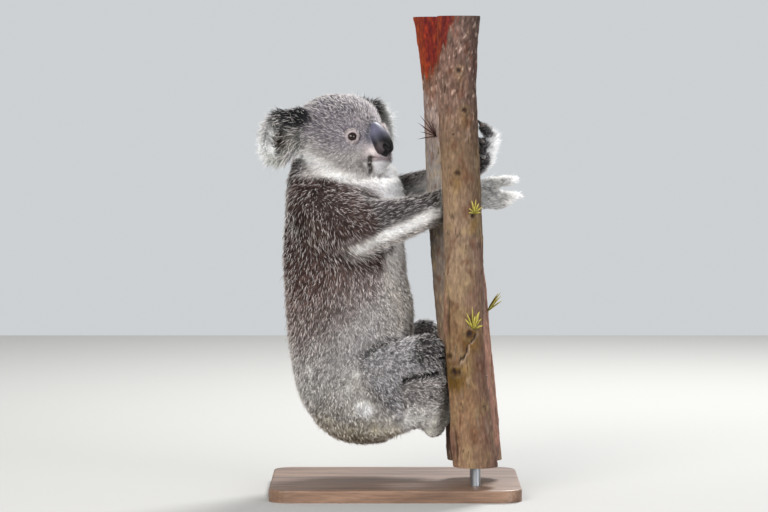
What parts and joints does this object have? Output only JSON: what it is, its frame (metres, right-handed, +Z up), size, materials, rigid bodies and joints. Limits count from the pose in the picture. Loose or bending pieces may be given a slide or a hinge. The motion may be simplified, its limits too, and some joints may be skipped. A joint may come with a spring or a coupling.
{
  "type": "koala",
  "caption": "Life-size still koala that clings to a pair of cut gum tree stems, head turned to its right, on a plain flat display stand.",
  "frame": {"origin": "middle of the underside of the stand's base, on the floor", "axes": "+Z up, along the stems; +X from the koala's back towards the stems; +Y to the koala's left"},
  "size_m": [0.3758, 0.3, 0.688],
  "materials": {
    "coat": "dense grey fur, white at the chest, chin and ear fringes",
    "nose_leather": "bare, finely grained, slightly moist",
    "eye": "dark brown, polished",
    "front_bark": "smooth tan gum bark with strips peeling off",
    "rear_bark": "smooth pale grey gum bark",
    "stand_wood": "dark stained, satin",
    "rod_steel": "brushed"
  },
  "bodies": {
    "root": {"torso": "coat", "neck": "coat", "head": "coat", "ear_R": "coat", "ear_L": "coat", "upper_arm_R": "coat", "upper_arm_L": "coat", "forearm_R": "coat", "forearm_L": "coat", "hand_R": "coat", "hand_L": "coat", "thigh_R": "coat", "thigh_L": "coat", "shin_R": "coat", "shin_L": "coat", "foot_R": "coat", "foot_L": "coat", "nose": "nose_leather", "eye_R": "eye", "eye_L": "eye", "perch_stem_front": "front_bark", "perch_stem_rear": "rear_bark", "stand_base": "stand_wood", "stand_rod_front": "rod_steel", "stand_rod_rear": "rod_steel"}
  },
  "joints": []
}
